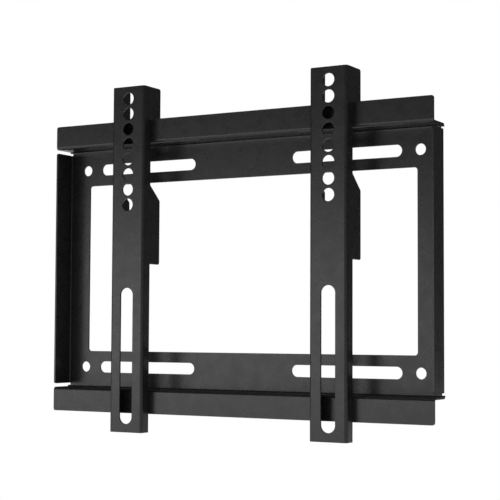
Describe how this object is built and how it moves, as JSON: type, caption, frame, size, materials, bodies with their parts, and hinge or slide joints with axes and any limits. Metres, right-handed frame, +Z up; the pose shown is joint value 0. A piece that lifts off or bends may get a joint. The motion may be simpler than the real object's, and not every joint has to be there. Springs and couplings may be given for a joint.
{
  "type": "fixed tv wall bracket",
  "caption": "Slim fixed wall bracket for a flat screen: a folded black wall plate with a window, rails and fixing slots, and hooked channel arms that slide along the top rail.",
  "frame": {"origin": "middle of the wall plate, on the wall plane at the plate's back", "axes": "+X along the rails to the right as seen from the front, +Y into the wall, +Z up"},
  "size_m": [0.277, 0.0252, 0.2267],
  "materials": {
    "powder_coat": "satin black powder coat with a fine texture"
  },
  "bodies": {
    "wall_plate": {"wall_plate": "powder_coat"},
    "left_arm": {"left_arm": "powder_coat"},
    "right_arm": {"right_arm": "powder_coat"}
  },
  "joints": [
    {"name": "left_arm_slide", "type": "slide", "parent": "wall_plate", "child": "left_arm", "axis": [1, 0, 0], "range_m": [-0.05055, 0.06025]},
    {"name": "right_arm_slide", "type": "slide", "parent": "wall_plate", "child": "right_arm", "axis": [1, 0, 0], "range_m": [-0.06025, 0.05055]}
  ]
}
